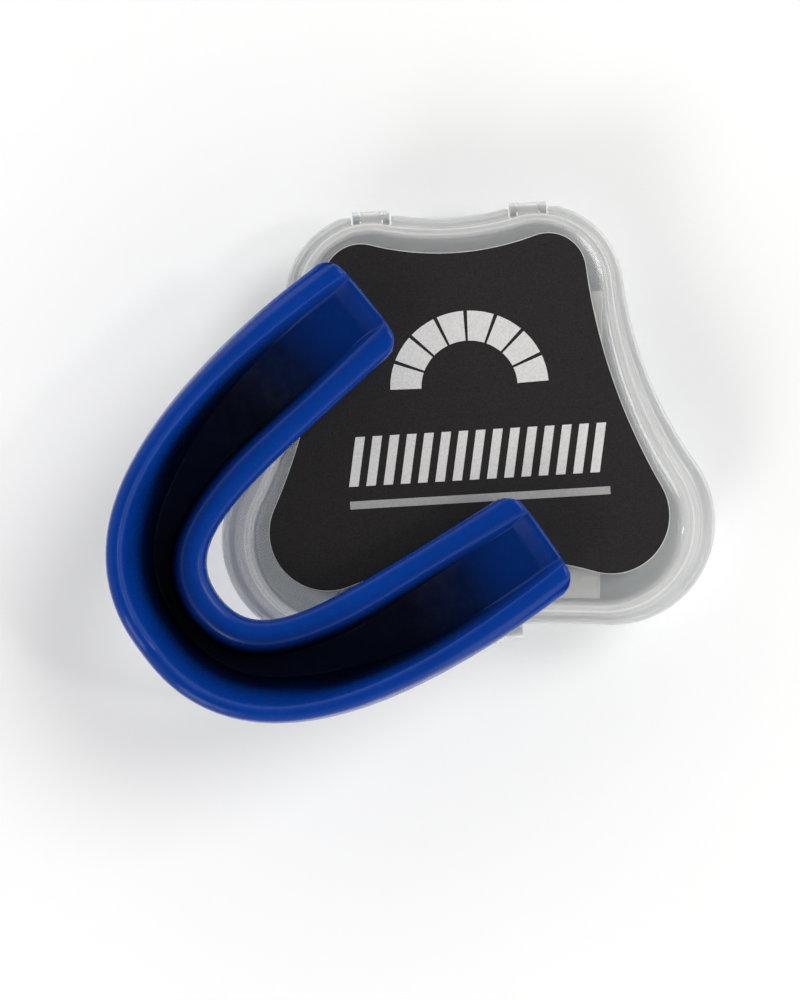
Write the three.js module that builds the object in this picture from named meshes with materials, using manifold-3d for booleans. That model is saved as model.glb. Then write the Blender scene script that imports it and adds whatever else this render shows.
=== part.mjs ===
// A boil-and-bite mouthguard lying on its hinged storage case.
// Millimetres, +Z up. The origin is the centre of the tray's underside. The hinge is at the rear (+Y), the
// latch at the front (-Y). The case is drawn closed, with the mouthguard resting on the lid and overhanging
// its left front.
import * as THREE from "three";
import { mergeVertices } from "three/addons/utils/BufferGeometryUtils.js";
import Module from "manifold-3d";

const wasm = await Module();
wasm.setup();

// ---- Driving dimensions ----

// An outline is four round lobes joined by hollow arcs. Lobe centres are mirrored across the centre line.
const CASE_OUTLINE = {
  rear: { x: 14.3, y: 21.9, r: 15.2 },
  front: { x: 25.1, y: -19.2, r: 17.9 },
  rearHollow: 47,
  sideHollow: 71,
  frontHollow: 220,
};
const LABEL_OUTLINE = {
  rear: { x: 16, y: 24.4, r: 6.4 },
  front: { x: 24.2, y: -17.9, r: 9.9 },
  rearHollow: 47,
  sideHollow: 102,
  frontHollow: 64,
};
const FRONT_EDGE = CASE_OUTLINE.front.y - CASE_OUTLINE.front.r;

// Heights of the two shells.
const FLOOR = 1.4;
const TRAY_RIM_TOP = 16.8;
const LID_RIM_BOTTOM = 17.1;
const LID_RIM_TOP = 18.4;
const LID_TOP = 26;
const LID_CEILING = 25;

// Each shell's section as [inset from the rim outline, extra narrowing of the front lobes, height]. The
// tray's runs up its outer skin and down inside, the lid's down from its ceiling and up its outer skin.
const TRAY_SECTION = [
  [7.0, 2.8, 0],
  [5.7, 2.6, 0.3],
  [4.8, 2.4, 1.3],
  [4.3, 2.2, 3.2],
  [2.9, 1.3, 15.0],
  [2.6, 1.1, 15.5],
  [0.8, 0.2, 15.5],
  [0.35, 0, 15.9],
  [0.35, 0, 16.4],
  [0.7, 0.1, TRAY_RIM_TOP],
  [3.1, 1.2, TRAY_RIM_TOP],
  [3.2, 1.2, 18.1],
  [3.6, 1.3, 18.4],
  [4.1, 1.4, 18.1],
  [4.2, 1.5, 15.0],
  [5.5, 2.4, 3.9],
  [6.1, 2.6, 2.2],
  [7.4, 2.9, FLOOR],
];
const LID_SECTION = [
  [4.6, 2.5, LID_CEILING],
  [3.9, 2.3, 24.7],
  [3.4, 2.0, 23.6],
  [2.75, 1.1, 19.0],
  [2.6, 1.0, LID_RIM_BOTTOM],
  [0.35, 0.1, LID_RIM_BOTTOM],
  [0, 0, 17.5],
  [0, 0, 18.0],
  [0.35, 0.1, LID_RIM_TOP],
  [1.45, 0.9, LID_RIM_TOP],
  [1.8, 1.1, 19.0],
  [2.6, 1.8, 24.0],
  [2.9, 2.0, 25.1],
  [3.3, 2.2, 25.8],
  [3.9, 2.4, LID_TOP],
];

// The rear hinge: on each rear lobe, the lid's barrel turns on a pin held by two ears of the tray.
const HINGE = { x: 13.7, y: 36.3, z: 16.95, barrelR: 1.1, boreR: 0.65, pinR: 0.45 };
const BARREL_HALF = 1.8;
const EAR = { inner: 2.05, outer: 3.2, rootDepth: 1.3 };
const HINGE_ROOM = { half: 3.5, y: 34.8, behind: 2, trayBottom: 14, lidGap: 0.2 };
const HINGE_ROOT_Y = 34.4;
const HINGE_PIN_HALF = 3.1;
const REAR_REACH = 25;

// The front latch: a clasp on a pin between two ears of the lid, hooked under the tray's rim.
const LATCH = { y: -37.4, z: 18.0, barrelR: 0.95, boreR: 0.7, pinR: 0.5, half: 4.7 };
const LATCH_EAR = { inner: 5.0, outer: 8.4, r: 1.0, rootY: -35.0 };
const LATCH_ROOM_Y = -36.1;
const LATCH_PIN_HALF = 8.1;
const CLASP = {
  faceY: -38.3,
  backY: -37.25,
  hookY: -35.85,
  hookTop: 15.1,
  hookBottom: 14.1,
  lipY: -39.4,
  bottom: 12.6,
};

const LABEL = { bottom: 26.1, top: 26.3 };

// The folded leaflet lies against the lid's ceiling.
const LEAFLET = {
  x: 1.3,
  y: -4.2,
  width: 44,
  length: 52.5,
  bottom: 23.8,
  fold: 0.24,
  pitch: 0.28,
  turn: -4,
  layers: 3,
};

// The mouthguard: half of its arch as cubic curves of [across, back from the front], and its walls and floor.
// A value with front and tip changes smoothly between the two, over the stretch of the arch from one place to
// another.
const GUARD = {
  outer: [[0, 0], [22.4, 0], [34.6, 20], [34.4, 61.6]],
  inner: [[0, 16.5], [11.2, 16.5], [12, 29], [15, 62.4]],
  middle: 33.6,
  x: -28.5,
  y: -18,
  z: 26.5,
  turn: -56.4,
  outerWall: { front: 15, tip: 11.6, from: 0.3, to: 1 },
  innerWall: 10.5,
  outerSlope: { front: 2.2, tip: 0.4, from: 0.45, to: 0.95 },
  innerSlope: { front: 1.3, tip: 0, from: 0.6, to: 0.95 },
  biteFloor: { front: 2.4, tip: 6.4, from: 0.55, to: 1 },
  ramp: { front: 0, tip: 2.04, from: 0.75, to: 1, last: 1.36 },
  frenum: { depth: 1.6, halfWidth: 5 },
  tip: { corner: 3.4, cornerCurve: 0.06, bulge: 1, edge: 0.7 },
};

// ---- Materials ----

const plastic = (color, roughness, opacity = 1) =>
  new THREE.MeshStandardMaterial({ color, roughness, metalness: 0, opacity, transparent: opacity < 1 });
const CLEAR = plastic(0xdfe3e4, 0.35, 0.55);
const BLUE = plastic(0x0a2f9a, 0.3);
const BLACK = plastic(0x2a2829, 0.5);
const PAPER = plastic(0xf2f0ea, 0.9);

// ---- Solids ----

function solidOf(geometry) {
  const bare = new THREE.BufferGeometry().setAttribute("position", geometry.getAttribute("position"));
  if (geometry.index) bare.setIndex(geometry.index);
  const merged = mergeVertices(bare, 1e-4);
  return new wasm.Manifold(
    new wasm.Mesh({
      numProp: 3,
      vertProperties: merged.attributes.position.array,
      triVerts: new Uint32Array(merged.index.array),
    }),
  );
}

function geometryOf(solid) {
  const { vertProperties, triVerts } = solid.getMesh();
  const geometry = new THREE.BufferGeometry();
  geometry.setAttribute("position", new THREE.BufferAttribute(vertProperties, 3));
  geometry.setIndex(new THREE.BufferAttribute(triVerts, 1));
  geometry.computeVertexNormals();
  return geometry;
}

const join = (first, ...rest) => rest.reduce((whole, piece) => whole.add(piece), first);
const cut = (whole, ...tools) => tools.reduce((left, tool) => left.subtract(tool), whole);

function box(x0, x1, y0, y1, z0, z1) {
  const geometry = new THREE.BoxGeometry(x1 - x0, y1 - y0, z1 - z0);
  return solidOf(geometry.translate((x0 + x1) / 2, (y0 + y1) / 2, (z0 + z1) / 2));
}

// A section drawn in the YZ plane, extruded along X from x0 to x1.
function alongX(shape, x0, x1, curveSegments = 6) {
  const geometry = new THREE.ExtrudeGeometry(shape, { depth: x1 - x0, bevelEnabled: false, curveSegments });
  const toYZ = new THREE.Matrix4().makeBasis(
    new THREE.Vector3(0, 1, 0),
    new THREE.Vector3(0, 0, 1),
    new THREE.Vector3(1, 0, 0),
  );
  return solidOf(geometry.applyMatrix4(toYZ).translate(x0, 0, 0));
}

const circle = (y, z, radius) => new THREE.Shape().absarc(y, z, radius, 0, 2 * Math.PI);

// A pin along X, centred on x.
const pin = (x, { y, z, pinR }, half) => alongX(circle(y, z, pinR), x - half, x + half, 16);

// Closed surface through equal-length loops, capped at both ends. flat maps a point to its cap's plane.
function stack(loops, flat) {
  const size = loops[0].length;
  const positions = loops.flat().flatMap((p) => [p.x, p.y, p.z]);
  const index = [];
  for (let k = 0; k + 1 < loops.length; k++) {
    for (let j = 0; j < size; j++) {
      const [a, b] = [k * size + j, k * size + ((j + 1) % size)];
      index.push(a, b, b + size, a, b + size, a + size);
    }
  }
  const last = (loops.length - 1) * size;
  for (const [a, b, c] of THREE.ShapeUtils.triangulateShape(loops[0].map(flat), [])) index.push(a, c, b);
  for (const [a, b, c] of THREE.ShapeUtils.triangulateShape(loops.at(-1).map(flat), []))
    index.push(last + a, last + b, last + c);
  const geometry = new THREE.BufferGeometry();
  geometry.setAttribute("position", new THREE.Float32BufferAttribute(positions, 3));
  return geometry.setIndex(index);
}

// ---- Lobed outlines ----

const REAR_STEPS = 6;
const SIDE_STEPS = 6;
const REAR_LOBE_STEPS = 9;
const FRONT_LOBE_STEPS = 12;

// Centre of the arc that touches both lobes from outside, on the left of the way from a to b.
function hollowCentre(a, b, radius) {
  const between = b.c.clone().sub(a.c);
  const span = between.length();
  const fromA = a.r + radius;
  const fromB = b.r + radius;
  const along = (fromA ** 2 - fromB ** 2 + span ** 2) / (2 * span);
  const away = Math.sqrt(fromA ** 2 - along ** 2);
  between.normalize();
  const left = new THREE.Vector2(-between.y, between.x);
  return a.c.clone().addScaledVector(between, along).addScaledVector(left, away);
}

function arc(centre, radius, towards, until, clockwise, steps) {
  const start = towards.clone().sub(centre).angle();
  const end = until.clone().sub(centre).angle();
  const curve = new THREE.ArcCurve(centre.x, centre.y, radius, start, end, clockwise);
  return curve.getPoints(steps).slice(0, -1);
}

// The outline moved inwards by inset, its front lobes drawn together by narrow, anticlockwise from above.
function lobedLoop(outline, inset, narrow, z) {
  const lobe = ({ x, y, r }, side, pull) => ({ c: new THREE.Vector2(side * (x - pull), y), r: r - inset });
  const { rear, front, rearHollow, sideHollow, frontHollow } = outline;
  const lobes = [lobe(rear, -1, 0), lobe(rear, 1, 0), lobe(front, 1, narrow), lobe(front, -1, narrow)];
  const radii = [rearHollow, sideHollow, frontHollow, sideHollow].map((r) => r + inset);
  const hollowSteps = [REAR_STEPS, SIDE_STEPS, REAR_STEPS, SIDE_STEPS];
  const lobeSteps = [REAR_LOBE_STEPS, REAR_LOBE_STEPS, FRONT_LOBE_STEPS, FRONT_LOBE_STEPS];
  const hollows = lobes.map((a, i) => hollowCentre(a, lobes[(i + 1) % 4], radii[i]));
  const points = hollows.flatMap((centre, i) => {
    const next = (i + 1) % 4;
    return [
      ...arc(centre, radii[i], lobes[i].c, lobes[next].c, false, hollowSteps[i]),
      ...arc(lobes[next].c, lobes[next].r, centre, hollows[next], true, lobeSteps[next]),
    ];
  });
  return points.reverse().map((p) => new THREE.Vector3(p.x, p.y, z));
}

const fromAbove = (p) => new THREE.Vector2(p.x, p.y);

function shell(outline, section) {
  return solidOf(stack(section.map(([inset, narrow, z]) => lobedLoop(outline, inset, narrow, z)), fromAbove));
}

// ---- The case ----

// A barrel or ear around the hinge pin, with a root that runs forward to the shell at the heights given.
function hingeLug(x0, x1, rootBottom, rootTop) {
  const { y, z, barrelR, boreR } = HINGE;
  const round = alongX(circle(y, z, barrelR), x0, x1, 18);
  const root = box(x0, x1, HINGE_ROOT_Y, y, rootBottom, rootTop);
  return cut(join(round, root), alongX(circle(y, z, boreR), x0 - 1, x1 + 1, 18));
}

const hingeSides = [-HINGE.x, HINGE.x];

function trayEars(x) {
  const rootBottom = TRAY_RIM_TOP - EAR.rootDepth;
  return [
    hingeLug(x - EAR.outer, x - EAR.inner, rootBottom, TRAY_RIM_TOP),
    hingeLug(x + EAR.inner, x + EAR.outer, rootBottom, TRAY_RIM_TOP),
  ];
}

// Room for the other shell's lugs, and for the rims to swing past each other behind the hinge's axis.
function hingeRooms(z0, z1) {
  const { half, y, behind } = HINGE_ROOM;
  const rear = box(-REAR_REACH, REAR_REACH, HINGE.y, HINGE.y + behind, z0, z1);
  return join(rear, ...hingeSides.map((x) => box(x - half, x + half, y, HINGE.y + behind, z0, z1)));
}

function tray() {
  const body = shell(CASE_OUTLINE, TRAY_SECTION);
  const opened = cut(body, hingeRooms(HINGE_ROOM.trayBottom, LID_RIM_BOTTOM));
  return join(opened, ...hingeSides.flatMap(trayEars));
}

function latchEar(side) {
  const { y, z, boreR } = LATCH;
  const { inner, outer, r, rootY } = LATCH_EAR;
  const [x0, x1] = side > 0 ? [inner, outer] : [-outer, -inner];
  const round = alongX(circle(y, z, r), x0, x1, 16);
  const root = box(x0, x1, y, rootY, LID_RIM_BOTTOM, LID_RIM_TOP);
  return { lug: join(round, root), bore: alongX(circle(y, z, boreR), x0 - 0.1, x1 + 1, 16) };
}

function lid() {
  const body = shell(CASE_OUTLINE, LID_SECTION);
  const half = LATCH_EAR.inner;
  const claspRoom = box(-half, half, FRONT_EDGE - 1, LATCH_ROOM_Y, LID_RIM_BOTTOM - 1, LID_RIM_TOP + 0.2);
  const opened = cut(body, claspRoom, hingeRooms(LID_RIM_BOTTOM - HINGE_ROOM.lidGap, LID_RIM_TOP + 0.5));
  const barrel = (x) => hingeLug(x - BARREL_HALF, x + BARREL_HALF, LID_RIM_BOTTOM, LID_RIM_TOP);
  const barrels = hingeSides.map(barrel);
  const ears = [-1, 1].map(latchEar);
  return cut(join(opened, ...barrels, ...ears.map((e) => e.lug)), ...ears.map((e) => e.bore));
}

function clasp() {
  const { y, z, barrelR, boreR, half } = LATCH;
  const { faceY, backY, hookY, hookTop, hookBottom, lipY, bottom } = CLASP;
  const drop = Math.acos((backY - y) / barrelR);
  const section = new THREE.Shape();
  section.absarc(y, z, barrelR, -drop, Math.PI, false);
  section.quadraticCurveTo(faceY, z - 1, faceY, z - 2);
  section.bezierCurveTo(faceY, bottom + 2.2, lipY, bottom + 1.4, lipY, bottom + 0.5);
  section.quadraticCurveTo(lipY, bottom, lipY + 0.5, bottom);
  section.quadraticCurveTo(backY - 0.5, bottom + 0.4, backY, hookBottom - 0.5);
  section.lineTo(hookY - 0.1, hookBottom + 0.3);
  section.quadraticCurveTo(hookY, hookTop - 0.4, hookY - 0.2, hookTop);
  section.lineTo(backY, hookTop);
  section.closePath();
  section.holes.push(circle(y, z, boreR));
  return alongX(section, -half, half, 5);
}

function leaflet() {
  const { x, y, width, length, bottom, fold, pitch, turn, layers } = LEAFLET;
  const sheets = Array.from({ length: layers }, (_, i) => {
    const z = bottom + i * pitch;
    const bend = i % 2 ? width / 2 - fold : -width / 2;
    const sheet = box(-width / 2, width / 2, -length / 2, length / 2, z, z + fold);
    if (i + 1 === layers) return sheet;
    return join(sheet, box(bend, bend + fold, -length / 2, length / 2, z, z + pitch + fold / 2));
  });
  return join(...sheets).rotate([0, 0, turn]).translate([x, y, 0]);
}

// ---- The mouthguard ----

const { lerp, smoothstep } = THREE.MathUtils;
const halfCurve = (points) => new THREE.CubicBezierCurve(...points.map(([x, y]) => new THREE.Vector2(x, y)));
const OUTER_HALF = halfCurve(GUARD.outer);
const INNER_HALF = halfCurve(GUARD.inner);

// The trough at one place as [distance in from the outer edge, height]. The slopes are how far its sides lean
// in.
function troughSection(width, outerTop, innerTop, floor, [out, back]) {
  return [
    [1.3, 0],
    [0.35, 0.5],
    [0, 2.0],
    [0.2, lerp(floor, outerTop, 0.15)],
    [0.8, lerp(floor, outerTop, 0.65)],
    [1.4, outerTop - 0.9],
    [2.1, outerTop - 0.2],
    [3.0, outerTop],
    [3.8, lerp(floor, outerTop, 0.97)],
    [4.4, lerp(floor, outerTop, 0.88)],
    [4.8 + 0.25 * out, lerp(floor, outerTop, 0.55)],
    [5.1 + 0.7 * out, lerp(floor, outerTop, 0.2)],
    [6.1 + out, floor],
    [width - 5.9 - back, floor],
    [width - 4.8 - back, lerp(floor, innerTop, 0.35)],
    [width - 4.3 - 0.9 * back, lerp(floor, innerTop, 0.7)],
    [width - 3.6 - 0.7 * back, lerp(floor, innerTop, 0.92)],
    [width - 2.9 - 0.4 * back, lerp(floor, innerTop, 0.99)],
    [width - 2.1, innerTop],
    [width - 1.1, innerTop - 0.4],
    [width - 0.4, innerTop - 1.3],
    [width, lerp(floor, innerTop, 0.4)],
    [width - 0.4, 3.4],
    [width - 0.7, 0.7],
    [width - 1.2, 0],
  ];
}

// How far a quarter circle of radius 1 has curved away, t of the way along. It stops just short of the end.
const quarterRound = (t) => 1 - Math.sqrt(1 - 0.96 * t * t);

const blend = ({ front, tip, from, to }, along) => lerp(front, tip, smoothstep(along, from, to));

// One section loop. along is 0 at the front and 1 where the tip begins, and past is the way into the tip.
function guardLoop(side, along, past) {
  const { outerWall, innerWall, outerSlope, innerSlope, biteFloor, ramp, frenum, tip, middle } = GUARD;
  const outer = OUTER_HALF.getPoint(along);
  const inner = INNER_HALF.getPoint(along);
  const across = inner.clone().sub(outer);
  const width = across.length();
  across.normalize();
  const notch = frenum.depth * Math.exp(-((outer.x / frenum.halfWidth) ** 2));
  const outerTop = blend(outerWall, along) - notch;
  const end = past / tip.corner;
  const floor = blend(biteFloor, along) + blend(ramp, along) + ramp.last * end;
  const slopes = [blend(outerSlope, along), blend(innerSlope, along)];
  const inset = tip.corner * quarterRound(end);
  const edge = tip.edge * quarterRound(Math.max(0, 1 - (tip.corner - past) / tip.edge));
  return troughSection(width, outerTop, innerWall, floor, slopes).map(([v, z]) => {
    const flat = Math.min(Math.max(v, inset), width - inset);
    const bulge = tip.bulge * end * (1 - ((2 * flat) / width - 1) ** 2);
    const p = outer.clone().addScaledVector(across, lerp(flat, v, tip.cornerCurve));
    return new THREE.Vector3(side * p.x, p.y + past + bulge - middle, z > floor / 2 ? z - edge : z);
  });
}

const GUARD_STEPS = 20;
const TIP_STEPS = 5;
const quarterSine = (i) => Math.sin((Math.PI / 2) * (i / TIP_STEPS));

function mouthguard() {
  const half = (side) => [
    ...Array.from({ length: GUARD_STEPS }, (_, i) => guardLoop(side, (i + 1) / GUARD_STEPS, 0)),
    ...Array.from({ length: TIP_STEPS }, (_, i) => guardLoop(side, 1, GUARD.tip.corner * quarterSine(i + 1))),
  ];
  const loops = [...half(1).reverse(), guardLoop(1, 0, 0), ...half(-1)];
  const flatTip = (p) => new THREE.Vector2(Math.abs(p.x), p.z);
  return stack(loops, flatTip);
}

// ---- The assembly ----

const assembly = new THREE.Group();

function place(name, geometry, material) {
  const mesh = new THREE.Mesh(geometry, material);
  mesh.name = name;
  assembly.add(mesh);
  return mesh;
}

place("case_base", geometryOf(tray()), CLEAR);
place("case_lid", geometryOf(lid()), CLEAR);
place("hinge_pin_left", geometryOf(pin(-HINGE.x, HINGE, HINGE_PIN_HALF)), CLEAR);
place("hinge_pin_right", geometryOf(pin(HINGE.x, HINGE, HINGE_PIN_HALF)), CLEAR);
place("latch_clasp", geometryOf(clasp()), CLEAR);
place("latch_pin", geometryOf(pin(0, LATCH, LATCH_PIN_HALF)), CLEAR);
place("lid_label", geometryOf(shell(LABEL_OUTLINE, [[0, 0, LABEL.bottom], [0, 0, LABEL.top]])), BLACK);
place("instruction_leaflet", geometryOf(leaflet()), PAPER);
const guard = place("mouthguard", mouthguard(), BLUE);
guard.position.set(GUARD.x, GUARD.y, GUARD.z);
guard.rotation.z = THREE.MathUtils.degToRad(GUARD.turn);

export default assembly;
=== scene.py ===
"""A boil-and-bite mouthguard lying on its frosted, hinged case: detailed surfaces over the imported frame."""

import math

import bmesh
import bpy
from mathutils import Matrix, Vector


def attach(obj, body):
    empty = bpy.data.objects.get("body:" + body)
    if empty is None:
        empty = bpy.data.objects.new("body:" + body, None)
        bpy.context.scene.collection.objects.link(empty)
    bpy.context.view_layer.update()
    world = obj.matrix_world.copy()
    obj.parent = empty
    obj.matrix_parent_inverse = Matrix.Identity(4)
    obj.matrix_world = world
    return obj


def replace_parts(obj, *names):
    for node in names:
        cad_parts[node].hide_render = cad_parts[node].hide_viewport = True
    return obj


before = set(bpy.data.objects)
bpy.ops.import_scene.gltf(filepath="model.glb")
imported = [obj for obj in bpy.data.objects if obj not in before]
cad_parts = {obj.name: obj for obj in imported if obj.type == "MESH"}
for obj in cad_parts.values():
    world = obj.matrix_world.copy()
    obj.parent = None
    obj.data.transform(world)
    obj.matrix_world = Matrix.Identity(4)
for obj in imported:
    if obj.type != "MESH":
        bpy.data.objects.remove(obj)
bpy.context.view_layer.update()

MM = 0.001
TAU = 2 * math.pi

# ---- Dimensions, in millimetres and degrees, in the frame's axes ----

# "rear" and "front" are (x, y, radius) of the right-hand lobes.
# "hollows" are the radii of the arcs between lobes.

CASE_OUTLINE = {
    "rear": (14.3, 21.9, 15.2),
    "front": (25.1, -19.2, 17.9),
    "hollows": (47, 71, 220, 71),
}
LABEL_OUTLINE = {
    "rear": (16, 24.4, 6.4),
    "front": (24.2, -17.9, 9.9),
    "hollows": (47, 102, 64, 102),
}
RING_STEPS = {"hollows": (26, 24, 26, 24), "lobes": (28, 28, 40, 40)}

# Each row of a section is (inset from the outline, how far the front lobes draw together, height).
TRAY_SECTION = [
    (7.4, 2.9, 1.4),
    (6.1, 2.6, 2.2),
    (5.5, 2.4, 3.9),
    (4.2, 1.5, 15.0),
    (4.1, 1.4, 18.1),
    (3.6, 1.3, 18.4),
    (3.2, 1.2, 18.1),
    (3.1, 1.2, 16.8),
    (0.7, 0.1, 16.8),
    (0.35, 0, 16.4),
    (0.35, 0, 15.9),
    (0.8, 0.2, 15.5),
    (2.6, 1.1, 15.5),
    (2.9, 1.3, 15.0),
    (4.3, 2.2, 3.2),
    (4.8, 2.4, 1.3),
    (5.7, 2.6, 0.3),
    (7.0, 2.8, 0),
]
LID_SECTION = [
    (5.4, 2.9, 25.0),
    (4.5, 2.6, 24.85),
    (3.8, 2.3, 24.3),
    (3.35, 2.0, 23.1),
    (2.75, 1.1, 19.0),
    (2.6, 1.0, 17.1),
    (0.35, 0.1, 17.1),
    (0, 0, 17.5),
    (0, 0, 18.1),
    (0.25, 0.05, 18.45),
    (0.7, 0.15, 18.5),
    (0.95, 0.3, 18.2),
    (1.45, 0.9, 18.2),
    (1.7, 1.0, 18.7),
    (1.9, 1.15, 19.6),
    (2.4, 1.65, 22.9),
    (2.75, 1.9, 24.4),
    (3.3, 2.15, 25.3),
    (4.1, 2.4, 25.8),
    (5.2, 2.8, 26.0),
]
SOFTEN = 0.35

HINGE_X = 13.7
HINGE = {"y": 36.3, "z": 16.95, "barrel_r": 1.1, "bore_r": 0.65, "root_y": 34.4}
BARREL_HALF = 1.8
EAR_INNER, EAR_OUTER = 2.05, 3.2
LUG_BEVEL = 0.12
BORE_REACH = 4
# Each hinge has a room cut round it, and both rims are trimmed behind the axis, so that the lid can turn.
ROOM_HALF, ROOM_Y, ROOM_DEPTH = 3.5, 34.8, 2
TRIM_HALF = 25
TRAY_ROOM, LID_ROOM = (14, 17), (16.9, 19)
TRAY_LUG, LID_LUG = (15.5, 16.8), (17.1, 18.3)

LATCH = {"y": -37.4, "z": 18.0, "ear_r": 1.0, "bore_r": 0.7, "ear_inner": 5.0, "ear_outer": 8.4}
LATCH_ROOT_Y, LATCH_ROOT = -35.0, (17.1, 18.35)
LATCH_ROOM_Y, LATCH_ROOM = (-39, -36.1), (16, 18.6)

LABEL_BOTTOM, LABEL_MIDDLE, LABEL_TOP = 26.02, 26.12, 26.24
LABEL_BORDER, LABEL_EDGE = 0.1, 0.04
PRINT_HEIGHT = 0.03
ARCH = {"centre": (1.4, 5.4), "outer": (13.5, 13.0), "inner": (8.2, 7.9), "blocks": 8, "gap": 1.4}
BARS = {"left": -20.1, "right": 24.0, "foot": -10.4, "head": -2.0, "lean": 1.6, "count": 15, "share": 0.55}
STRIPE = {"left": -20.1, "right": 24.3, "low": -14.25, "high": -12.9}

LEAFLET = {"x": 1.3, "y": -4.2, "width": 44, "length": 52.5, "bottom": 23.9, "pitch": 0.26, "turn": -4}
LEAFLET_LAYERS, LEAFLET_THICKNESS = 3, 0.1
LEAFLET_STEPS, FOLD_STEPS, LEAFLET_ROWS = 24, 8, 40
LEAFLET_WAVE = 0.03

# The guard's plan: cubic curves of the right-hand side, from the middle of the front to the tip.
GUARD_OUTER = ((0, 0), (22.4, 0), (34.6, 20), (34.4, 61.6))
GUARD_INNER = ((0, 16.5), (11.2, 16.5), (12, 29), (15, 62.4))
GUARD_MIDDLE = 33.6
GUARD_PLACE = (-28.5, -18, 26.34)
GUARD_TURN = -56.4
GUARD_STEPS, TIP_STEPS, SPLINE_STEPS = 56, 9, 3

# A pair of sizes is (at the front, at the tip), and its span is the part of the way over which it changes.
OUTER_WALL, OUTER_WALL_SPAN = (15.0, 11.6), (0.3, 1)
INNER_WALL = 10.5
BITE_FLOOR, BITE_FLOOR_SPAN = (2.4, 6.4), (0.55, 1)
OUTER_SLOPE, OUTER_SLOPE_SPAN = (2.2, 0.4), (0.45, 0.95)
INNER_SLOPE, INNER_SLOPE_SPAN = (1.3, 0), (0.6, 0.95)
FRENUM_DEPTH, FRENUM_HALF = 1.6, 5
TIP_CORNER, TIP_BULGE, TIP_EDGE = 3.4, 1.0, 0.7
TIP_TUCK, TUCK_HEIGHT = 1.0, 6
CORNER_CURVE = 0.06
TIP_RAMP, TIP_RAMP_SPAN, TIP_RAMP_SHARES = 3.4, (0.75, 1), (0.6, 0.4)

# Painted shade: the trough's colour is darkened the deeper it lies, between these distances in from its outer
# and inner edges, in place of the shade in the deep channel.
# Its outer side at the front gets only a share of this painted shade and stays lighter.
PAINTED_SHADE_FROM, PAINTED_SHADE_TO = 4, 2.5
PAINTED_SHADE_DEPTH = 7
# Where the painted shade reaches full strength, across the section and along the guard; elsewhere on the
# outer front it keeps only this share.
PAINTED_SHADE_SLOPE, PAINTED_SHADE_FRONT, PAINTED_SHADE_SHARE = (4.4, 9), (0.3, 0.65), 0.3

# ---- Small helpers ----


def lerp(a, b, t):
    return a + (b - a) * t


def smoothstep(t, low, high):
    t = min(1, max(0, (t - low) / (high - low)))
    return t * t * (3 - 2 * t)


def bezier(points, t):
    """Point of a cubic Bezier curve in the plane."""
    weights = ((1 - t) ** 3, 3 * t * (1 - t) ** 2, 3 * t * t * (1 - t), t ** 3)
    return Vector(sum(w * p[axis] for w, p in zip(weights, points)) for axis in (0, 1))


def soften(points, radius, steps=3):
    """The open polyline with each inner corner replaced by a short curve that starts radius before it."""
    points = [Vector(p) for p in points]
    out = [points[0]]
    for before, corner, after in zip(points, points[1:], points[2:]):
        back, ahead = before - corner, after - corner
        start = corner + back.normalized() * min(radius, back.length * 0.45)
        end = corner + ahead.normalized() * min(radius, ahead.length * 0.45)
        for i in range(steps + 1):
            t = i / steps
            out.append(start * (1 - t) ** 2 + corner * 2 * t * (1 - t) + end * t * t)
    return out + [points[-1]]


def spline_loop(points, steps):
    """A closed Catmull-Rom curve through the points, each span cut into steps."""
    count = len(points)
    out = []
    for i in range(count):
        p0, p1, p2, p3 = (points[(i + k) % count] for k in (-1, 0, 1, 2))
        for j in range(steps):
            t = j / steps
            out.append(
                (p1 * 2 + (p2 - p0) * t + (p0 * 2 - p1 * 5 + p2 * 4 - p3) * t ** 2
                 + (p1 * 3 - p0 - p2 * 3 + p3) * t ** 3) * 0.5
            )
    return out


def add_object(name, mesh, material):
    piece = bpy.data.objects.new(name, mesh)
    mesh.materials.append(material)
    bpy.context.collection.objects.link(piece)
    return piece


def finish_mesh(name, bm, sharp_degrees=40):
    """A smooth-shaded mesh from bm, in metres, with edges over sharp_degrees kept crisp."""
    bmesh.ops.recalc_face_normals(bm, faces=bm.faces)
    bmesh.ops.scale(bm, vec=(MM, MM, MM), verts=bm.verts)
    mesh = bpy.data.meshes.new(name)
    bm.to_mesh(mesh)
    bm.free()
    mesh.polygons.foreach_set("use_smooth", [True] * len(mesh.polygons))
    mesh.set_sharp_from_angle(angle=math.radians(sharp_degrees))
    return mesh


def loft(rings):
    """A closed surface through equal rings of points, capped at both ends."""
    bm = bmesh.new()
    rows = [[bm.verts.new(p) for p in ring] for ring in rings]
    size = len(rows[0])
    for low, high in zip(rows, rows[1:]):
        for j in range(size):
            k = (j + 1) % size
            bm.faces.new((low[j], low[k], high[k], high[j]))
    caps = [bm.faces.new(rows[0]), bm.faces.new(rows[-1])]
    bmesh.ops.triangulate(bm, faces=caps)
    return bm


def extrude_x(outline, x0, x1, bevel=0.0):
    """A solid whose section is the (y, z) outline, from x0 to x1, with its edges bevelled."""
    bm = loft([[(x, y, z) for y, z in outline] for x in (x0, x1)])
    if bevel:
        bmesh.ops.dissolve_limit(bm, angle_limit=0.01, verts=bm.verts, edges=bm.edges)
        rims = [e for e in bm.edges if e.verts[0].co.x == e.verts[1].co.x]
        bmesh.ops.bevel(bm, geom=rims, offset=bevel, segments=2, affect="EDGES", clamp_overlap=True)
    return bm


def circle(y, z, radius, steps=36):
    angles = (TAU * i / steps for i in range(steps))
    return [(y + radius * math.cos(a), z + radius * math.sin(a)) for a in angles]


def box(x0, x1, y0, y1, z0, z1):
    return extrude_x([(y0, z0), (y1, z0), (y1, z1), (y0, z1)], x0, x1)


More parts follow.
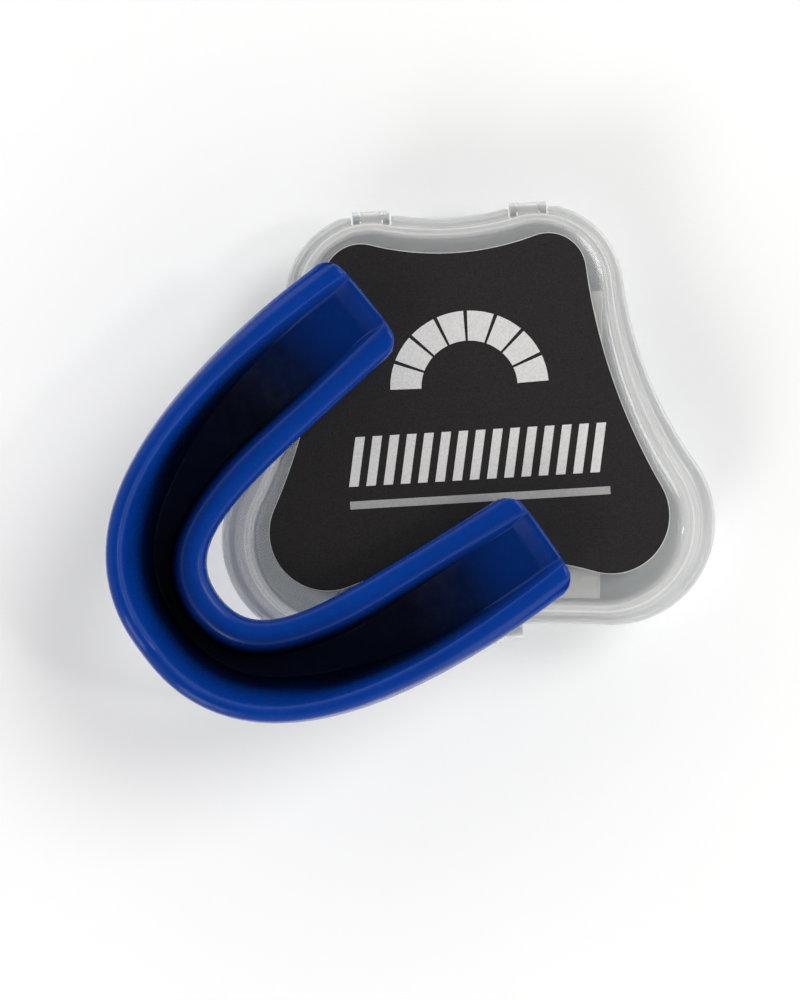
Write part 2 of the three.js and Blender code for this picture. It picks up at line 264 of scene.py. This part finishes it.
def combine(name, body, tools, sharp_degrees=32):
    """The body with each (operation, solid) tool applied in turn."""
    target = bpy.data.objects.new(name, finish_mesh(name, body))
    bpy.context.collection.objects.link(target)
    helpers = []
    for i, (operation, solid) in enumerate(tools):
        helper = bpy.data.objects.new(f"{name}_tool_{i}", finish_mesh("tool", solid))
        bpy.context.collection.objects.link(helper)
        modifier = target.modifiers.new(helper.name, "BOOLEAN")
        modifier.operation = operation
        modifier.solver = "MANIFOLD"
        modifier.object = helper
        helpers.append(helper)
    bpy.context.view_layer.update()
    evaluated = target.evaluated_get(bpy.context.evaluated_depsgraph_get())
    mesh = bpy.data.meshes.new_from_object(evaluated)
    mesh.materials.clear()
    for spare in (target, *helpers):
        bpy.data.objects.remove(spare)
    mesh.polygons.foreach_set("use_smooth", [True] * len(mesh.polygons))
    mesh.set_sharp_from_angle(angle=math.radians(sharp_degrees))
    mesh.name = name
    return mesh


# ---- Lobed outlines ----


def hollow_centre(a, b, radius):
    """Centre of the arc that touches lobes a and b from outside, on the left of the way from a to b."""
    ux, uy = b[0] - a[0], b[1] - a[1]
    span = math.hypot(ux, uy)
    ux, uy = ux / span, uy / span
    from_a, from_b = a[2] + radius, b[2] + radius
    along = (from_a ** 2 - from_b ** 2 + span ** 2) / (2 * span)
    away = math.sqrt(from_a ** 2 - along ** 2)
    return (a[0] + ux * along - uy * away, a[1] + uy * along + ux * away)


def arc(centre, radius, towards, until, clockwise, steps):
    start = math.atan2(towards[1] - centre[1], towards[0] - centre[0])
    end = math.atan2(until[1] - centre[1], until[0] - centre[0])
    turn = (end - start) % TAU - (TAU if clockwise else 0)
    angles = (start + turn * i / steps for i in range(steps))
    return [(centre[0] + radius * math.cos(a), centre[1] + radius * math.sin(a)) for a in angles]


def lobed_ring(outline, inset, narrow, z):
    """The outline moved inwards by inset, with its front lobes drawn together by narrow."""
    (rx, ry, rr), (fx, fy, fr) = outline["rear"], outline["front"]
    rear, front = rr - inset, fr - inset
    lobes = [(-rx, ry, rear), (rx, ry, rear), (fx - narrow, fy, front), (narrow - fx, fy, front)]
    radii = [r + inset for r in outline["hollows"]]
    hollows = [hollow_centre(lobes[i], lobes[(i + 1) % 4], radii[i]) for i in range(4)]
    points = []
    for i in range(4):
        after = (i + 1) % 4
        lobe = lobes[after]
        points += arc(hollows[i], radii[i], lobes[i], lobe, False, RING_STEPS["hollows"][i])
        points += arc(lobe, lobe[2], hollows[i], hollows[after], True, RING_STEPS["lobes"][after])
    return [(x, y, z) for x, y in points]


def shell(outline, section):
    return loft([lobed_ring(outline, *row) for row in section])


# ---- Materials ----

# How much light comes through the frosted shells' walls, and through the lid's thin flat top.
TRAY_CLARITY = (0.58, 0.64)
WALL_CLARITY, TOP_CLARITY = 0.68, 0.92
LID_TOP_FROM, CLARITY_FADE = 24.9, 0.5


class Nodes:
    """A material and its node tree, with short ways to add to it."""

    def __init__(self, name):
        self.material = bpy.data.materials.new(name)
        self.material.use_nodes = True
        self.tree = self.material.node_tree
        self.bsdf = self.tree.nodes["Principled BSDF"]
        self.coords = self.add("ShaderNodeTexCoord").outputs["Object"]

    def add(self, kind, **settings):
        node = self.tree.nodes.new(kind)
        for key, value in settings.items():
            if hasattr(node, key):
                setattr(node, key, value)
            else:
                node.inputs[key].default_value = value
        return node

    def link(self, source, target):
        self.tree.links.new(source, target)

    def set(self, **values):
        for key, value in values.items():
            self.bsdf.inputs[key.replace("_", " ")].default_value = value

    def noise(self, scale, detail=3, roughness=0.5):
        node = self.add("ShaderNodeTexNoise", Scale=scale, Detail=detail, Roughness=roughness)
        self.link(self.coords, node.inputs["Vector"])
        return node.outputs["Fac"]

    def remap(self, value, low, high, low_at=0.3, high_at=0.7):
        node = self.add("ShaderNodeMapRange")
        for key, number in zip(("From Min", "From Max", "To Min", "To Max"), (low_at, high_at, low, high)):
            node.inputs[key].default_value = number
        self.link(value, node.inputs["Value"])
        return node.outputs["Result"]

    def ramp(self, value, *stops):
        """A colour ramp; each stop is (position, (r, g, b))."""
        node = self.add("ShaderNodeValToRGB")
        elements = node.color_ramp.elements
        while len(elements) < len(stops):
            elements.new(0.5)
        for element, (position, colour) in zip(elements, stops):
            element.position = position
            element.color = (*colour, 1)
        self.link(value, node.inputs["Fac"])
        return node.outputs["Color"]

    def bump(self, height, strength, distance, under=None):
        node = self.add("ShaderNodeBump")
        node.inputs["Strength"].default_value = strength
        node.inputs["Distance"].default_value = distance * MM
        self.link(height, node.inputs["Height"])
        if under:
            self.link(under, node.inputs["Normal"])
        return node.outputs["Normal"]


def frosted_plastic(name, low, high, clear_above=None):
    """Milky polypropylene with a smooth skin: light comes through blurred.

    low and high are the haze's two tints. Above clear_above, in millimetres, the plastic is thin and
    flat and lets more light through.
    """
    m = Nodes(name)
    haze = m.noise(35, 2)
    m.link(m.ramp(haze, (0.35, low), (0.7, high)), m.bsdf.inputs["Base Color"])
    m.link(m.remap(haze, 0.2, 0.26), m.bsdf.inputs["Roughness"])
    m.set(IOR=1.46, Coat_Weight=0.5, Coat_Roughness=0.07)
    if clear_above:
        height = m.add("ShaderNodeSeparateXYZ")
        m.link(m.coords, height.inputs["Vector"])
        fade = (clear_above - CLARITY_FADE) * MM, clear_above * MM
        clarity = m.remap(height.outputs["Z"], WALL_CLARITY, TOP_CLARITY, *fade)
    else:
        clarity = m.remap(haze, *TRAY_CLARITY)
    m.link(clarity, m.bsdf.inputs["Transmission Weight"])
    waves = m.bump(m.noise(60, 1), 0.12, 0.08)
    m.link(m.bump(m.noise(220, 1), 0.1, 0.07, waves), m.bsdf.inputs["Normal"])
    return m.material


def guard_rubber():
    """Deep blue EVA with a soft gloss, faint ripples and fine handling marks, its colour darkened to near
    black deep in the trough as painted shade.
    """
    m = Nodes("guard_rubber")
    # The trough attribute carries painted shade, set for each point in make_guard.
    trough = m.add("ShaderNodeAttribute", attribute_name="trough").outputs["Fac"]
    pigment = m.ramp(m.noise(70, 3), (0.3, (0.86, 0.86, 0.86)), (0.7, (1, 1, 1)))
    # Painted shade: the blue goes to near black as the trough attribute grows deeper in the channel.
    blue = m.ramp(
        trough,
        (0.0, (0.0015, 0.035, 0.25)),
        (0.27, (0.0008, 0.025, 0.18)),
        (0.6, (0.0006, 0.006, 0.038)),
        (1.0, (0.0004, 0.0018, 0.010)),
    )
    tint = m.add("ShaderNodeMix", data_type="RGBA", blend_type="MULTIPLY")
    tint.inputs["Factor"].default_value = 1
    m.link(blue, tint.inputs[6])
    m.link(pigment, tint.inputs[7])
    m.link(tint.outputs[2], m.bsdf.inputs["Base Color"])
    m.link(m.remap(m.noise(500, 4), 0.22, 0.3), m.bsdf.inputs["Roughness"])
    m.set(IOR=1.3, Specular_IOR_Level=0.38)
    ripples = m.bump(m.noise(110, 2), 0.3, 0.12)
    m.link(m.bump(m.noise(3500, 2), 0.08, 0.01, ripples), m.bsdf.inputs["Normal"])
    return m.material


def label_film():
    """Black printed film with the fine mottle of ink on paper."""
    m = Nodes("label_film")
    m.link(
        m.ramp(m.noise(4200, 3, 0.8), (0.38, (0.005, 0.0042, 0.0042)), (0.66, (0.019, 0.016, 0.016))),
        m.bsdf.inputs["Base Color"],
    )
    m.link(m.remap(m.noise(2200, 3), 0.45, 0.58), m.bsdf.inputs["Roughness"])
    m.set(IOR=1.36)
    m.link(m.bump(m.noise(2500, 3), 0.1, 0.02), m.bsdf.inputs["Normal"])
    return m.material


def print_ink(name, colour):
    """One printed colour, slightly uneven where the ink is thin."""
    m = Nodes(name)
    thin = tuple(c * 0.86 for c in colour)
    m.link(m.ramp(m.noise(2600, 4, 0.6), (0.35, thin), (0.6, colour)), m.bsdf.inputs["Base Color"])
    m.link(m.remap(m.noise(900, 3), 0.45, 0.6), m.bsdf.inputs["Roughness"])
    return m.material


def leaflet_paper():
    """White uncoated paper with fibres."""
    m = Nodes("leaflet_paper")
    m.link(
        m.ramp(m.noise(1100, 5, 0.7), (0.35, (0.88, 0.87, 0.84)), (0.7, (0.95, 0.94, 0.915))),
        m.bsdf.inputs["Base Color"],
    )
    m.set(Roughness=0.9)
    m.link(m.bump(m.noise(1500, 5), 0.3, 0.03), m.bsdf.inputs["Normal"])
    return m.material


def studio_floor():
    """Plain pale floor."""
    m = Nodes("studio_floor")
    pale = m.ramp(m.noise(9, 2), (0.3, (0.93, 0.93, 0.93)), (0.7, (0.95, 0.95, 0.95)))
    m.link(pale, m.bsdf.inputs["Base Color"])
    m.set(Roughness=0.75)
    return m.material


LID_PLASTIC = frosted_plastic("lid_plastic", (0.90, 0.90, 0.895), (0.94, 0.94, 0.935), LID_TOP_FROM)
TRAY_PLASTIC = frosted_plastic("tray_plastic", (0.82, 0.86, 0.875), (0.88, 0.91, 0.92))
RUBBER = guard_rubber()
FILM = label_film()
PAPER = leaflet_paper()
WHITE_INK = print_ink("white_ink", (0.66, 0.65, 0.635))
GREY_INK = print_ink("grey_ink", (0.36, 0.355, 0.345))

# ---- The case ----


def lug(x0, x1, root_bottom, root_top):
    """A rounded lug round the hinge's axis with a root that runs forward to the shell."""
    y, z, r = HINGE["y"], HINGE["z"], HINGE["barrel_r"]
    round_part = extrude_x(circle(y, z, r), x0, x1, LUG_BEVEL)
    root = box(x0, x1, HINGE["root_y"], y, root_bottom, root_top)
    return [("UNION", round_part), ("UNION", root)]


def hinge_bore(x):
    bore = circle(HINGE["y"], HINGE["z"], HINGE["bore_r"])
    return ("DIFFERENCE", extrude_x(bore, x - BORE_REACH, x + BORE_REACH))


def hinge_rooms(z0, z1):
    """Cuts that leave a room at each hinge and trim the rim behind the axis."""
    y1 = HINGE["y"] + ROOM_DEPTH
    rooms = [box(x - ROOM_HALF, x + ROOM_HALF, ROOM_Y, y1, z0, z1) for x in (-HINGE_X, HINGE_X)]
    return [("DIFFERENCE", solid) for solid in (*rooms, box(-TRIM_HALF, TRIM_HALF, HINGE["y"], y1, z0, z1))]


def make_tray():
    tools = hinge_rooms(*TRAY_ROOM)
    for x in (-HINGE_X, HINGE_X):
        tools += lug(x - EAR_OUTER, x - EAR_INNER, *TRAY_LUG)
        tools += lug(x + EAR_INNER, x + EAR_OUTER, *TRAY_LUG)
        tools.append(hinge_bore(x))
    body = shell(CASE_OUTLINE, soften(TRAY_SECTION, SOFTEN))
    piece = add_object("tray_shell", combine("tray_shell", body, tools), TRAY_PLASTIC)
    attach(piece, "base")
    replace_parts(piece, "case_base")


def make_lid():
    y, z, ear_inner, ear_outer = (LATCH[key] for key in ("y", "z", "ear_inner", "ear_outer"))
    tools = hinge_rooms(*LID_ROOM)
    tools.append(("DIFFERENCE", box(-ear_inner, ear_inner, *LATCH_ROOM_Y, *LATCH_ROOM)))
    for x in (-HINGE_X, HINGE_X):
        tools += lug(x - BARREL_HALF, x + BARREL_HALF, *LID_LUG)
        tools.append(hinge_bore(x))
    for x0, x1 in ((-ear_outer, -ear_inner), (ear_inner, ear_outer)):
        tools.append(("UNION", extrude_x(circle(y, z, LATCH["ear_r"]), x0, x1, LUG_BEVEL)))
        tools.append(("UNION", box(x0, x1, y, LATCH_ROOT_Y, *LATCH_ROOT)))
        tools.append(("DIFFERENCE", extrude_x(circle(y, z, LATCH["bore_r"]), x0 - 0.1, x1 + 1)))
    body = shell(CASE_OUTLINE, soften(LID_SECTION, SOFTEN))
    piece = add_object("lid_shell", combine("lid_shell", body, tools), LID_PLASTIC)
    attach(piece, "lid")
    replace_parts(piece, "case_lid")


def dress_small_parts():
    """The pins and the clasp show their CAD shapes, in the lid's plastic."""
    for node in ("hinge_pin_left", "hinge_pin_right", "latch_pin", "latch_clasp"):
        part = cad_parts[node]
        for slot in part.material_slots:
            slot.material = LID_PLASTIC


# ---- The label and its print ----


def ride_lid(piece):
    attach(piece, "lid")


def label_layer(name, section, material):
    piece = add_object(name, finish_mesh(name, shell(LABEL_OUTLINE, section)), material)
    ride_lid(piece)
    return piece


def make_label():
    """A black film on a paper backing that shows as a thin pale edge."""
    paper = [(-LABEL_BORDER, 0, LABEL_BOTTOM), (-LABEL_BORDER, 0, LABEL_MIDDLE)]
    label_layer("label_backing", paper, PAPER)
    film = [(0, 0, LABEL_MIDDLE), (0, 0, LABEL_TOP - LABEL_EDGE), (LABEL_EDGE, 0, LABEL_TOP)]
    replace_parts(label_layer("label_film", film, FILM), "lid_label")


def print_patch(name, outlines, material):
    """Flat printed patches: each outline is a list of (x, y) points, raised by the ink's thickness."""
    bm = bmesh.new()
    heights = (LABEL_TOP, LABEL_TOP + PRINT_HEIGHT)
    for outline in outlines:
        low, high = ([bm.verts.new((x, y, z)) for x, y in outline] for z in heights)
        bm.faces.new(low)
        bm.faces.new(high)
        for i in range(len(outline)):
            j = (i + 1) % len(outline)
            bm.faces.new((low[i], low[j], high[j], high[i]))
    piece = add_object(name, finish_mesh(name, bm), material)
    ride_lid(piece)


def wedge(centre, outer, inner, start, end, steps=6):
    """A block of a half ring between two ellipses, from one angle to another in degrees."""
    angles = [math.radians(lerp(start, end, i / steps)) for i in range(steps + 1)]
    x, y = centre
    rim = [(x + outer[0] * math.cos(a), y + outer[1] * math.sin(a)) for a in angles]
    return rim + [(x + inner[0] * math.cos(a), y + inner[1] * math.sin(a)) for a in reversed(angles)]


def make_print():
    """A plain arch of blocks, a row of slashes and a thin line, in place of the printed mark and name."""
    pitch, gap = 180 / ARCH["blocks"], ARCH["gap"]
    blocks = [
        wedge(ARCH["centre"], ARCH["outer"], ARCH["inner"], i * pitch + gap, (i + 1) * pitch - gap)
        for i in range(ARCH["blocks"])
    ]
    print_patch("label_emblem", blocks, WHITE_INK)
    foot, head, lean = BARS["foot"], BARS["head"], BARS["lean"]
    step = (BARS["right"] - BARS["left"]) / BARS["count"]
    wide = step * BARS["share"]
    slashes = []
    for i in range(BARS["count"]):
        x = BARS["left"] + i * step
        slashes.append([(x, foot), (x + wide, foot), (x + wide + lean, head), (x + lean, head)])
    print_patch("label_bars", slashes, WHITE_INK)
    left, right, low, high = (STRIPE[key] for key in ("left", "right", "low", "high"))
    print_patch("label_stripe", [[(left, low), (right, low), (right, high), (left, high)]], GREY_INK)


# ---- The leaflet ----


def folded_path():
    """The folded sheet from its end, as (x, z): straight layers joined by half-round folds."""
    pitch = LEAFLET["pitch"]
    run = LEAFLET["width"] / 2 - pitch / 2
    turns = [math.radians(-90 + 180 * i / FOLD_STEPS) for i in range(1, FOLD_STEPS)]
    path = []
    for layer in range(LEAFLET_LAYERS):
        way = 1 if layer % 2 == 0 else -1
        z = LEAFLET["bottom"] + layer * pitch
        path += [(way * lerp(-run, run, i / LEAFLET_STEPS), z) for i in range(LEAFLET_STEPS + 1)]
        if layer < LEAFLET_LAYERS - 1:
            for a in turns:
                path.append((way * (run + pitch / 2 * math.cos(a)), z + pitch / 2 + pitch / 2 * math.sin(a)))
    return path


def make_leaflet():
    """One sheet folded in three: a path across the width, swept along the length."""
    half = LEAFLET["length"] / 2
    path = folded_path()
    bm = bmesh.new()
    rows = []
    for j in range(LEAFLET_ROWS + 1):
        y = lerp(-half, half, j / LEAFLET_ROWS)
        wave = [LEAFLET_WAVE * math.sin(0.21 * y + 0.13 * x) for x, _ in path]
        rows.append([bm.verts.new((x, y, z + w)) for (x, z), w in zip(path, wave)])
    for low, high in zip(rows, rows[1:]):
        for i in range(len(path) - 1):
            bm.faces.new((low[i], low[i + 1], high[i + 1], high[i]))
    turn = Matrix.Rotation(math.radians(LEAFLET["turn"]), 4, "Z")
    place = Matrix.Translation((LEAFLET["x"], LEAFLET["y"], 0)) @ turn
    bmesh.ops.transform(bm, matrix=place, verts=bm.verts)
    bmesh.ops.solidify(bm, geom=bm.faces[:], thickness=LEAFLET_THICKNESS)
    piece = add_object("leaflet", finish_mesh("leaflet", bm, 60), PAPER)
    ride_lid(piece)
    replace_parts(piece, "instruction_leaflet")


# ---- The mouthguard ----


def trough_section(width, outer_top, inner_top, floor, slopes):
    """The trough at one place as (distance in from the outer edge, height), from the outer foot round.

    slopes say how far the outer and the inner side lean in. The inner wall bulges a little towards the
    tongue's gap and is undercut at its foot.
    """
    out, back = slopes
    return [
        (1.3, 0),
        (0.35, 0.5),
        (0, 2.0),
        (0.2, lerp(floor, outer_top, 0.15)),
        (0.8, lerp(floor, outer_top, 0.65)),
        (1.4, outer_top - 0.9),
        (2.1, outer_top - 0.2),
        (3.0, outer_top),
        (3.8, lerp(floor, outer_top, 0.97)),
        (4.4, lerp(floor, outer_top, 0.88)),
        (4.8 + 0.25 * out, lerp(floor, outer_top, 0.55)),
        (5.1 + 0.7 * out, lerp(floor, outer_top, 0.2)),
        (5.5 + out, floor + 0.3),
        (6.1 + out, floor),
        (width - 5.9 - back, floor),
        (width - 5.2 - back, floor + 0.4),
        (width - 4.8 - back, lerp(floor, inner_top, 0.35)),
        (width - 4.3 - 0.9 * back, lerp(floor, inner_top, 0.7)),
        (width - 3.6 - 0.7 * back, lerp(floor, inner_top, 0.92)),
        (width - 2.9 - 0.4 * back, lerp(floor, inner_top, 0.99)),
        (width - 1.7, inner_top),
        (width - 0.6, inner_top - 0.35),
        (width + 0.2, inner_top - 1.3),
        (width + 0.5, inner_top - 2.8),
        (width + 0.2, inner_top - 4.6),
        (width - 0.6, 2.4),
        (width - 1.2, 0.6),
        (width - 2.0, 0),
    ]


def quarter_round(t):
    """How far a quarter circle of radius 1 has curved away, t of the way along, stopping just short."""
    return 1 - math.sqrt(1 - 0.96 * t * t)


def guard_ring(side, along, past):
    """One section of the guard.

    along runs from 0 at the front to 1 where the tip begins, and past is the way into the tip.
    """
    outer, inner = bezier(GUARD_OUTER, along), bezier(GUARD_INNER, along)
    across = inner - outer
    width = across.length
    across.normalize()
    end = past / TIP_CORNER
    notch = FRENUM_DEPTH * math.exp(-((outer.x / FRENUM_HALF) ** 2))
    outer_top = lerp(*OUTER_WALL, smoothstep(along, *OUTER_WALL_SPAN)) - notch
    ramp_along, ramp_end = TIP_RAMP_SHARES
    ramp = TIP_RAMP * (ramp_along * smoothstep(along, *TIP_RAMP_SPAN) + ramp_end * end)
    floor = lerp(*BITE_FLOOR, smoothstep(along, *BITE_FLOOR_SPAN)) + ramp
    outer_slope = lerp(*OUTER_SLOPE, smoothstep(along, *OUTER_SLOPE_SPAN))
    inner_slope = lerp(*INNER_SLOPE, smoothstep(along, *INNER_SLOPE_SPAN))
    inset = TIP_CORNER * quarter_round(end)
    edge = TIP_EDGE * quarter_round(max(0, 1 - (TIP_CORNER - past) / TIP_EDGE))
    ring = []
    for v, z in trough_section(width, outer_top, INNER_WALL, floor, (outer_slope, inner_slope)):
        flat = min(max(v, inset), width - inset)
        bulge = TIP_BULGE * end * (1 - (2 * flat / width - 1) ** 2)
        tuck = TIP_TUCK * end * (1 - smoothstep(z, 0, TUCK_HEIGHT))
        p = outer + across * lerp(flat, v, CORNER_CURVE)
        height = z - edge if z > floor / 2 else z
        # Painted shade: a point down in the trough gets darker the further it lies below the walls' tops,
        # with only a share of that on the outer side at the front.
        painted_shade = 0
        if PAINTED_SHADE_FROM < v < width - PAINTED_SHADE_TO and end < 1:
            full_shade = max(smoothstep(v, *PAINTED_SHADE_SLOPE), smoothstep(along, *PAINTED_SHADE_FRONT))
            painted_shade = ((outer_top + INNER_WALL) / 2 - z) * lerp(PAINTED_SHADE_SHARE, 1, full_shade)
        y = p.y + past + bulge - tuck - GUARD_MIDDLE
        ring.append(Vector((side * p.x, y, height, painted_shade / PAINTED_SHADE_DEPTH)))
    return spline_loop(ring, SPLINE_STEPS)


def make_guard():
    """The guard, lofted from the tip of one side round the front to the other, with its painted shade in the
    channel kept as the attribute trough.
    """
    tips = [TIP_CORNER * math.sin(math.radians(90) * i / TIP_STEPS) for i in range(1, TIP_STEPS + 1)]
    stations = [((i + 1) / GUARD_STEPS, 0) for i in range(GUARD_STEPS)] + [(1, past) for past in tips]
    left, right = ([guard_ring(side, *station) for station in stations] for side in (-1, 1))
    rings = [*reversed(right), guard_ring(1, 0, 0), *left]
    bm = loft([[p.xyz for p in ring] for ring in rings])
    place = Matrix.Translation(GUARD_PLACE) @ Matrix.Rotation(math.radians(GUARD_TURN), 4, "Z")
    bmesh.ops.transform(bm, matrix=place, verts=bm.verts)
    mesh = finish_mesh("guard", bm, 50)
    # Each point's fourth value is its painted shade, kept as the trough attribute.
    painted_shades = [min(1, max(0, p.w)) for ring in rings for p in ring]
    mesh.attributes.new("trough", "FLOAT", "POINT").data.foreach_set("value", painted_shades)
    piece = add_object("guard", mesh, RUBBER)
    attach(piece, "mouthguard")
    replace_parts(piece, "mouthguard")


# ---- Camera, floor and light ----

CAMERA_PLACE = (-11.57, -13.12, 400)
CAMERA_ROLL = -3.42
CAMERA_LENS, SENSOR_HEIGHT = 79.0, 36
FLOOR_HALF = 3.0  # metres
# The ceiling fades from WORLD_SIDES to WORLD_TOP between these heights of the direction looked in.
WORLD_SIDES, WORLD_TOP, WORLD_FADE = 1.7, 0.05, (0.35, 0.85)
WORLD_COLOUR = (1, 0.995, 0.985)
# Each sun is (name, direction it comes from, width in degrees, strength).
SUNS = (
    ("key", (0.9, 0.55, 1.3), 25, 1.0),
    ("fill", (-0.6, -0.8, 0.85), 20, 0.6),
    ("glint", (0.75, -0.1, 1.0), 5, 0.25),
)


def make_camera():
    data = bpy.data.cameras.new("camera")
    data.sensor_fit = "VERTICAL"
    data.sensor_height = SENSOR_HEIGHT
    data.lens = CAMERA_LENS
    data.clip_start = 0.01
    camera = bpy.data.objects.new("camera", data)
    camera.location = Vector(CAMERA_PLACE) * MM
    camera.rotation_euler = (0, 0, math.radians(CAMERA_ROLL))
    bpy.context.collection.objects.link(camera)
    bpy.context.scene.camera = camera


def make_floor():
    mesh = bpy.data.meshes.new("floor")
    corners = [(x * FLOOR_HALF, y * FLOOR_HALF, 0) for x, y in ((-1, -1), (1, -1), (1, 1), (-1, 1))]
    mesh.from_pydata(corners, [], [(0, 1, 2, 3)])
    add_object("floor", mesh, studio_floor())


def sun(name, direction, spread, strength):
    """A far, soft-edged light that comes from the given direction; spread is its width in degrees."""
    data = bpy.data.lights.new(name, "SUN")
    data.angle = math.radians(spread)
    data.energy = strength
    light = bpy.data.objects.new(name, data)
    light.rotation_euler = Vector(direction).to_track_quat("Z", "Y").to_euler()
    bpy.context.collection.objects.link(light)


def make_light():
    """A pale studio: dark straight above, as behind a camera, and bright towards the sides."""
    world = bpy.data.worlds.new("studio")
    world.use_nodes = True
    tree = world.node_tree
    background = tree.nodes["Background"]
    background.inputs["Color"].default_value = (*WORLD_COLOUR, 1)
    direction = tree.nodes.new("ShaderNodeSeparateXYZ")
    tree.links.new(tree.nodes.new("ShaderNodeTexCoord").outputs["Generated"], direction.inputs["Vector"])
    falloff = tree.nodes.new("ShaderNodeMapRange")
    numbers = (*WORLD_FADE, WORLD_SIDES, WORLD_TOP)
    for key, number in zip(("From Min", "From Max", "To Min", "To Max"), numbers):
        falloff.inputs[key].default_value = number
    tree.links.new(direction.outputs["Z"], falloff.inputs["Value"])
    tree.links.new(falloff.outputs["Result"], background.inputs["Strength"])
    bpy.context.scene.world = world
    bpy.context.scene.view_settings.view_transform = "Standard"
    for settings in SUNS:
        sun(*settings)


make_camera()
make_floor()
make_light()
make_tray()
make_lid()
make_label()
make_print()
make_leaflet()
make_guard()
dress_small_parts()
